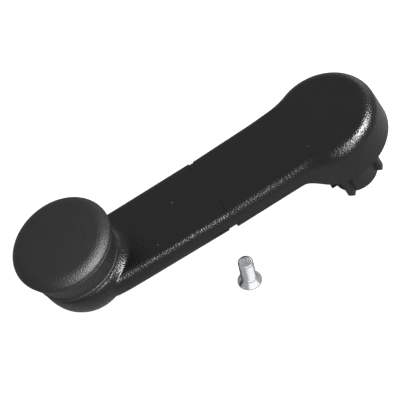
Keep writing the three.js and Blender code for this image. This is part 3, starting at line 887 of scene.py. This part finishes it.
for hand in (1, -1):
    found = pick("FACE", lambda place, face: place.y * hand > 0 and on_inner_wall(place, face))
    bpy.ops.mesh.extrude_region_move(TRANSFORM_OT_translate={"value": (0, -hand * LIP_WIDTH, 0)})
print("faces of each lip:", found)
bpy.ops.mesh.select_all(action="SELECT")
joint_normal = (math.cos(SKEW), math.sin(SKEW), 0)
bpy.ops.mesh.bisect(
    plane_co=(COVER_LENGTH, 0, 0), plane_no=joint_normal, use_fill=True, clear_outer=True
)
lay_down(cover, "cover", grained_black, ["hub_cover"])

# %% [markdown]
# ## Inside the hub
# Under the cover the lever goes on as a flat tongue with a round end, and a barrel with lugs
# hangs from it. The tongue starts as a box. Its two upright corners at the hub end are bevelled
# by the whole half width, which makes the round end in one step. A hole takes the flange of the
# insert.

# %% Tongue
TONGUE_TOP = 36.1
TONGUE_BOTTOM = 32.45
TONGUE_SIDE = 13.9
TONGUE_LENGTH = 50.0 + TONGUE_SIDE
TONGUE_EDGE = 0.35
FLANGE_SEAT = 8.9

tongue = start("tongue", bpy.ops.mesh.primitive_cube_add, size=1)
bpy.ops.transform.resize(value=(TONGUE_LENGTH, 2 * TONGUE_SIDE, TONGUE_TOP - TONGUE_BOTTOM))
bpy.ops.transform.translate(
    value=(TONGUE_LENGTH / 2 - TONGUE_SIDE, 0, (TONGUE_TOP + TONGUE_BOTTOM) / 2)
)
pick("EDGE", lambda place, _: near(place.x, -TONGUE_SIDE) and near(abs(place.y), TONGUE_SIDE))
bpy.ops.mesh.bevel(offset=TONGUE_SIDE - 0.01, segments=24)
tongue_end = TONGUE_LENGTH - TONGUE_SIDE
pick("EDGE", lambda place, edge: edge.calc_face_angle(0) > 1 and place.x < tongue_end - 1)
bpy.ops.mesh.bevel(offset=TONGUE_EDGE, segments=3)
cut(tongue, upright_hole("flange_seat", FLANGE_SEAT, TONGUE_BOTTOM - PAST, TONGUE_TOP + PAST))
lay_down(tongue, "crank", moulded_black)

# %% [markdown]
# The barrel is a cylinder whose lugs are grown out of it: the faces within a lug's width are
# picked by their place round the barrel and extruded outwards. A lug's own sides face the same
# way as other parts of the barrel, so picking by the direction of a face would catch them too.
# The lugs find the notches of the door's spacer, and the handle rests on one of them here. The
# flat ends are split across before the bore is cut: a hole inside one big face would be joined to
# its outline in a way that can change from run to run.

# %% Barrel with lugs
BARREL_RADIUS = 9.0
LUG_RADIUS = 11.1
LUG_TURNS = (0, 58, -58, 153, -153)
LUG_HALF = math.radians(9)
BARREL_SIDES = 120
BARREL_TOP = TONGUE_BOTTOM + 0.3
BORE = 7.0
MOULD_EDGE = 0.3
barrel = start(
    "hub_barrel", bpy.ops.mesh.primitive_cylinder_add, vertices=BARREL_SIDES, radius=BARREL_RADIUS,
    depth=BARREL_TOP, location=(0, 0, BARREL_TOP / 2),
)
for lug_turn in LUG_TURNS:
    out = Vector((math.cos(math.radians(lug_turn)), math.sin(math.radians(lug_turn)), 0))
    pick("FACE", lambda place, _: place.dot(out) > BARREL_RADIUS * math.cos(LUG_HALF))
    grow = out * (LUG_RADIUS - BARREL_RADIUS)
    bpy.ops.mesh.extrude_region_move(TRANSFORM_OT_translate={"value": grow})
pick("FACE", lambda place, _: near(place.z, 0))
bpy.ops.mesh.dissolve_faces()
pick("EDGE", lambda place, _: near(place.z, 0))
bpy.ops.mesh.bevel(offset=MOULD_EDGE, segments=3)
bpy.ops.mesh.select_all(action="SELECT")
bpy.ops.mesh.bisect(plane_co=(0, 0, 0), plane_no=(0, 1, 0))
cut(barrel, upright_hole("bore", BORE, -PAST, BARREL_TOP + PAST))
lay_down(barrel, "crank", moulded_black)

# %% [markdown]
# A three-cornered gusset stiffens the barrel where it meets the tongue. It is a thin box whose
# far lower edge is lifted, so it falls away along the tongue. It is sunk a little into both of its
# neighbours, as it would be if the three were moulded in one.

# %% Gusset
GUSSET_LENGTH = 26.0
GUSSET_HEIGHT = 9.0
GUSSET_WIDTH = 2.8
GUSSET_TIP = 0.3
SINK_IN_BARREL = 0.5
SINK_IN_TONGUE = 0.2
gusset_middle = Vector((
    BARREL_RADIUS - SINK_IN_BARREL + GUSSET_LENGTH / 2, 0,
    TONGUE_BOTTOM + SINK_IN_TONGUE - GUSSET_HEIGHT / 2,
))
gusset = start("gusset", bpy.ops.mesh.primitive_cube_add, size=1)
bpy.ops.transform.resize(value=(GUSSET_LENGTH, GUSSET_WIDTH, GUSSET_HEIGHT))
bpy.ops.transform.translate(value=gusset_middle)
pick("VERT", lambda place, _: place.z < gusset_middle.z and place.x > gusset_middle.x)
bpy.ops.transform.translate(value=(0, 0, GUSSET_HEIGHT - GUSSET_TIP))
pick("EDGE", lambda _, edge: abs((edge.verts[1].co - edge.verts[0].co).x) > 1)
bpy.ops.mesh.bevel(offset=MOULD_EDGE, segments=3)
lay_down(gusset, "crank", moulded_black)

# %% [markdown]
# ## The splined insert
# The steel insert grips the spindle with thirty-six fine splines and holds the seat of the
# screw. Its outside and the well above are one spun line.

# %% Splined insert
INSERT_FOOT = 1.2
SOCKET_TOP = INSERT_FOOT + 16.0
CONE_Z = SOCKET_TOP + 1.2
SEAT_Z = CONE_Z + 1.5
INSERT_TOP = TONGUE_TOP - 1.5
INSERT_RADIUS = 6.7
FLANGE_RADIUS = 8.6
FLANGE_FOOT = INSERT_TOP - 1.6
WELL_RADIUS = 5.4
CONE_RADIUS = 4.7
SCREW_HOLE = 3.2
insert_line = [
    (0, INSERT_FOOT), (INSERT_RADIUS, INSERT_FOOT), (INSERT_RADIUS, FLANGE_FOOT),
    (FLANGE_RADIUS, FLANGE_FOOT), (FLANGE_RADIUS, INSERT_TOP), (WELL_RADIUS, INSERT_TOP),
    (WELL_RADIUS, SEAT_Z), (CONE_RADIUS, SEAT_Z), (SCREW_HOLE, CONE_Z),
    (SCREW_HOLE, SOCKET_TOP - PAST), (0, SOCKET_TOP - PAST),
]
insert = draw_line("splined_insert", insert_line, rounds={1: 0.4, 3: 0.2, 4: 0.2, 5: 0.3}, segments=3)
spin_round(0, 108)
print("insert before its splines:", len(bmesh.from_edit_mesh(insert.data).faces), "faces")

# %% [markdown]
# The splined socket is cut with a tool made from a cylinder, as a toolmaker would broach it: every
# second pair of its corners is drawn in towards the axis. It cuts up into the hole of the screw.

# %% Splines of the socket
TEETH = 36
TIP_RADIUS = 4.7
ROOT_RADIUS = 5.2
broach = start(
    "broach", bpy.ops.mesh.primitive_cylinder_add, vertices=4 * TEETH, radius=ROOT_RADIUS,
    depth=SOCKET_TOP + PAST, location=(0, 0, (SOCKET_TOP - PAST) / 2),
)
tooth_step = TURN / (4 * TEETH)
pick("VERT", lambda place, _: round(math.atan2(place.y, place.x) / tooth_step) % 4 < 2)
tip_share = TIP_RADIUS / ROOT_RADIUS
scale_about((tip_share, tip_share, 1), (0, 0, 0))
cut(insert, broach)
lay_down(insert, "crank", turned_steel, ["hub_insert"])

# %% [markdown]
# ## The pin of the knob
# The knob turns on a shouldered rivet, with a plastic bush between them and a washer at each
# end. All of these are turned pieces, so each one is only a line and a spin.

# %% Pin of the knob
BUSH_FOOT = KNOB_FOOT + 0.6
BUSH_TOP = KNOB_HUB_TOP + 1.2
WASHER_TOP = BUSH_TOP + 1.1
HEAD_Z = WASHER_TOP + 0.3
TAIL_WASHER = PIN_RECESS - 1.1
TAIL_Z = TAIL_WASHER - 0.3
TAIL_RADIUS = 3.0
RIVET_RADIUS = 4.6
SHANK_RADIUS = 4.0
PIN_HEAD = 6.8
PIN_SHOULDER = PAD_TOP + 0.3

pin_line = at_knob([
    (0, TAIL_Z - 1.0), (TAIL_RADIUS, TAIL_Z - 1.0), (RIVET_RADIUS, TAIL_Z - 0.25),
    (RIVET_RADIUS, TAIL_Z), (TAIL_RADIUS, TAIL_Z), (TAIL_RADIUS, PIN_SHOULDER),
    (SHANK_RADIUS, PIN_SHOULDER), (SHANK_RADIUS, HEAD_Z), (PIN_HEAD, HEAD_Z),
    (PIN_HEAD, HEAD_Z + 0.7), (SHANK_RADIUS, HEAD_Z + 1.4), (0, HEAD_Z + 1.4),
])
pin = draw_line("knob_rivet", pin_line, rounds={1: 0.8, 9: 0.4, 10: 1.0}, segments=4)
spin_round(KNOB_X, 64)
lay_down(pin, "crank", turned_steel, ["knob_pin"])

# %% [markdown]
# The bush has a flange at the top, so plastic runs on plastic there. The washers are flat rings.
# The wavy spring washer under the knob is fine as it stands in the engineering model, so it is
# kept and only gets its steel.

# %% Bush and washers
PIN_HOLE = 4.3
BUSH_RADIUS = 5.6
BUSH_FLANGE = 7.4
FLANGE_UNDER = KNOB_HUB_TOP + 0.3
WASHER_THICKNESS = 0.8
bush_line = at_knob([
    (PIN_HOLE, BUSH_FOOT), (BUSH_RADIUS, BUSH_FOOT), (BUSH_RADIUS, FLANGE_UNDER),
    (BUSH_FLANGE, FLANGE_UNDER), (BUSH_FLANGE, BUSH_TOP), (PIN_HOLE, BUSH_TOP),
])
bush = draw_line("pin_sleeve", bush_line, rounds={1: 0.2, 3: 0.2, 4: 0.2}, segments=2, closed=True)
spin_round(KNOB_X, 64)
lay_down(bush, "knob", undyed_plastic, ["knob_bush"])


def washer(name, node, inner, outer, bottom):
    """A flat washer round the pin, with its two outer edges rounded."""
    top = bottom + WASHER_THICKNESS
    line = at_knob([(inner, bottom), (outer, bottom), (outer, top), (inner, top)])
    piece = draw_line(name, line, rounds={1: 0.15, 2: 0.15}, segments=2, closed=True)
    spin_round(KNOB_X, 64)
    lay_down(piece, "crank", turned_steel, [node])


washer("head_washer", "knob_washer", PIN_HOLE, 8.0, WASHER_TOP - WASHER_THICKNESS)
washer("rivet_washer", "tail_washer", TAIL_HOLE, 5.6, TAIL_WASHER)
wave_washer = frame["nodes"]["wave_washer"]
wave_washer.data.materials.clear()
wave_washer.data.materials.append(turned_steel)
print("kept from the engineering model:", wave_washer.name)

# %% [markdown]
# ## The fixing screw
# The screw stands on its head. Core, cone and rim of the head are one spun line, with a small
# chamfer at the tip. The core is as thin as the bottom of the thread, which is wound round it next.

# %% Core and head of the screw
SCREW_RADIUS = 2.95
THREAD_DEPTH = 0.42
SCREW_LENGTH = 12.2
HEAD_RADIUS = 4.7
RIM = 0.5
CORE_RADIUS = SCREW_RADIUS - THREAD_DEPTH
LEAD_RADIUS = SCREW_RADIUS - 0.05
CHAMFER = 0.3
neck_z = RIM + HEAD_RADIUS - SCREW_RADIUS
screw_line = [
    (0, 0), (HEAD_RADIUS, 0), (HEAD_RADIUS, RIM), (SCREW_RADIUS, neck_z),
    (SCREW_RADIUS, neck_z + 0.5), (CORE_RADIUS, neck_z + 0.9), (CORE_RADIUS, SCREW_LENGTH - 1.2),
    (LEAD_RADIUS, SCREW_LENGTH - 0.9), (LEAD_RADIUS, SCREW_LENGTH - CHAMFER),
    (LEAD_RADIUS - CHAMFER, SCREW_LENGTH), (0, SCREW_LENGTH),
]
screw = draw_line("countersunk_screw", screw_line, rounds={1: 0.15, 2: 0.15, 9: 0.1}, segments=3)
spin_round(0, 72)
print("plain screw:", len(bmesh.from_edit_mesh(screw.data).faces), "faces")

# %% [markdown]
# The thread is a real one: a small ridge, drawn as four corners, that the Screw modifier winds up
# the shank. Its ends are closed and drawn in, so the thread runs out into the core, and a boolean
# joins it with the shank. A thread made only in the material would leave the outline smooth.

# %% Thread
PITCH = 1.0
THREAD_STEPS = 48
THREAD_TURNS = 8
RIDGE_WIDTH = 0.9
CREST_WIDTH = 0.1
RUN_OUT = 10
ridge_foot = CORE_RADIUS - 0.12
thread_z = neck_z + 0.35
flank = (RIDGE_WIDTH - CREST_WIDTH) / 2
ridge_line = [
    (ridge_foot, thread_z), (SCREW_RADIUS, thread_z + flank),
    (SCREW_RADIUS, thread_z + flank + CREST_WIDTH), (ridge_foot, thread_z + RIDGE_WIDTH),
]
thread = draw_line("thread", ridge_line, closed=True)
apply_modifier(
    thread, "SCREW", axis="Z", angle=TURN, screw_offset=PITCH, iterations=THREAD_TURNS,
    steps=THREAD_STEPS, render_steps=THREAD_STEPS, use_merge_vertices=True,
    merge_threshold=DOUBLES, use_smooth_shade=False,
)
bpy.ops.object.mode_set(mode="EDIT")
found = pick("EDGE", lambda _, edge: edge.is_boundary)
bpy.ops.mesh.edge_face_add()
print("open edges at the thread's ends:", found)
rings = 1 + THREAD_TURNS * THREAD_STEPS
sink = (1.1 * THREAD_DEPTH + 0.1) / SCREW_RADIUS
for k in range(RUN_OUT):
    share = 1 - (1 - k / RUN_OUT) * sink
    pick("VERT", lambda _, item: item.index // len(ridge_line) in (k, rings - 1 - k))
    scale_about((share, share, 1), (0, 0, 0))
bpy.ops.mesh.select_all(action="SELECT")
bpy.ops.mesh.normals_make_consistent(inside=False)
apply_modifier(screw, "BOOLEAN", object=thread, operation="UNION", solver="EXACT")
bpy.data.objects.remove(thread)
print("the threaded screw has", len(screw.data.polygons), "faces")

# %% [markdown]
# The head has a cross recess, which only shows when the screw is lifted. Two crossed blades are
# cut out of it, narrower at the bottom than at the mouth, as the tip of a screwdriver is.

# %% Cross recess
RECESS_LENGTH = 5.2
RECESS_WIDTH = 1.2
RECESS_DEPTH = 2.2
RECESS_TURN = math.radians(20)
BLADE_PAST = 1.0
BLADE_SHARES = (0.5, 0.8, 1)
for quarter in range(2):
    blade = start("blade", bpy.ops.mesh.primitive_cube_add, size=1)
    bpy.ops.transform.resize(value=(RECESS_LENGTH, RECESS_WIDTH, RECESS_DEPTH + BLADE_PAST))
    bpy.ops.transform.translate(value=(0, 0, (RECESS_DEPTH - BLADE_PAST) / 2))
    pick("VERT", lambda place, _: near(place.z, RECESS_DEPTH))
    scale_about(BLADE_SHARES, (0, 0, 0))
    bpy.ops.mesh.select_all(action="SELECT")
    blade_turn = quarter * math.pi / 2 + RECESS_TURN
    bpy.ops.transform.rotate(value=blade_turn, orient_axis="Z", center_override=(0, 0, 0))
    cut(screw, blade)
lay_down(screw, "screw", bright_zinc, ["fixing_screw"], place=SCREW_PLACE, crease=28)

# %% [markdown]
# ## Floor, light and camera
# The photograph is a shop picture on a white table that is burnt out to pure white, without a
# shadow. A floor bright enough for that would light the black sides of the handle far too much.
# So the floor is a dim grey, and it glows white for the camera alone: the Light Path node tells
# whether a ray comes from the camera, and only such rays meet the glow.

# %% Floor
floor = start("floor", bpy.ops.mesh.primitive_plane_add, size=8)
put_down()
floor_paint = bpy.data.materials.new("white table")
floor_paint.use_nodes = True
floor_shader = floor_paint.node_tree.nodes["Principled BSDF"]
floor_shader.inputs["Base Color"].default_value = (0.14, 0.14, 0.14, 1)
floor_shader.inputs["Roughness"].default_value = 0.9
floor_shader.inputs["Emission Strength"].default_value = 1.0
seen = floor_paint.node_tree.nodes.new("ShaderNodeLightPath")
floor_paint.node_tree.links.new(seen.outputs["Is Camera Ray"], floor_shader.inputs["Emission Color"])
floor.data.materials.append(floor_paint)
print("floor:", floor_paint.name)

# %% [markdown]
# The tops of the handle mirror the studio's sky, which is therefore dim. What draws the rounded
# edges are softboxes: one to the right for the cover and its dome, one nearer the front for the
# knob, the bare arm and the rim of the pad, a weak one in front for the knob alone, a narrow strip
# in front for the long edges of the arm, and a low one behind. Light linking lets each of them
# shine on its own pieces, as black flags do in a real studio. The bright screw has a broad, weak
# light of its own, because the strong ones would burn it out.

# %% Studio sky
SKY = 0.44
bpy.context.scene.view_settings.view_transform = "Standard"
studio = bpy.data.worlds.new("studio")
bpy.context.scene.world = studio
studio.use_nodes = True
studio.node_tree.nodes["Background"].inputs["Color"].default_value = (1, 1, 1, 1)
studio.node_tree.nodes["Background"].inputs["Strength"].default_value = SKY
print("sky:", SKY)


# %% Softboxes
def softbox(name, turn, rise, distance, width, height, power):
    """A flat light that looks at the middle, from a turn round it and a rise above the table."""
    flat = distance * math.cos(math.radians(rise))
    place = Vector((
        flat * math.cos(math.radians(turn)), flat * math.sin(math.radians(turn)),
        distance * math.sin(math.radians(rise)),
    ))
    bpy.ops.object.light_add(type="AREA", location=place)
    light = bpy.context.object
    light.name = name
    light.rotation_euler = (-place).to_track_quat("-Z", "Y").to_euler()
    light.data.shape = "RECTANGLE"
    light.data.size = width
    light.data.size_y = height
    light.data.energy = power
    return light


def keep_to(light, state, *pieces):
    """Makes a light shine on these pieces only, or on everything else."""
    linked = bpy.data.collections.new(light.name + " pieces")
    for piece in pieces:
        linked.objects.link(piece)
    for member in linked.collection_objects:
        member.light_linking.link_state = state
    light.light_linking.receiver_collection = linked


# Each has its turn, rise, distance, width, height and power, in degrees, metres and watts.
put_down()
keep_to(softbox("dome_softbox", -34, 55, 1.2, 0.36, 0.5, 42), "INCLUDE", cover)
keep_to(softbox("knob_softbox", -54, 55, 1.2, 0.8, 0.45, 43), "EXCLUDE", cover, screw)
keep_to(softbox("knob_fill", -100, 35, 1.2, 0.8, 0.6, 6), "INCLUDE", knob_cap, knob_body)
keep_to(softbox("front_strip", -82, 36, 1.3, 0.2, 0.9, 12), "EXCLUDE", screw)
keep_to(softbox("back_glow", 46, 13, 1.2, 0.7, 0.3, 1.4), "EXCLUDE", screw)
keep_to(softbox("screw_softbox", -72, 38, 1.2, 2.2, 1.2, 7.5), "INCLUDE", screw)

# %% [markdown]
# The photograph was taken from some way off with a long lens, since the handle hardly narrows
# with distance. The camera's place and turn were fitted until the outlines agreed, and they are
# given from the foot of the hub.

# %% Camera
LENS = 180
SENSOR = 36
CAMERA_PLACE = Vector((-0.1444648, -0.4695423, 0.5978716))
CAMERA_TURN = [math.radians(angle) for angle in (38.582, 9.502, -21.676)]
bpy.ops.object.camera_add(location=hub_foot + CAMERA_PLACE, rotation=CAMERA_TURN)
camera = bpy.context.object
camera.data.sensor_width = SENSOR
camera.data.lens = LENS
bpy.context.scene.camera = camera
print("camera at", [round(v, 3) for v in camera.location])
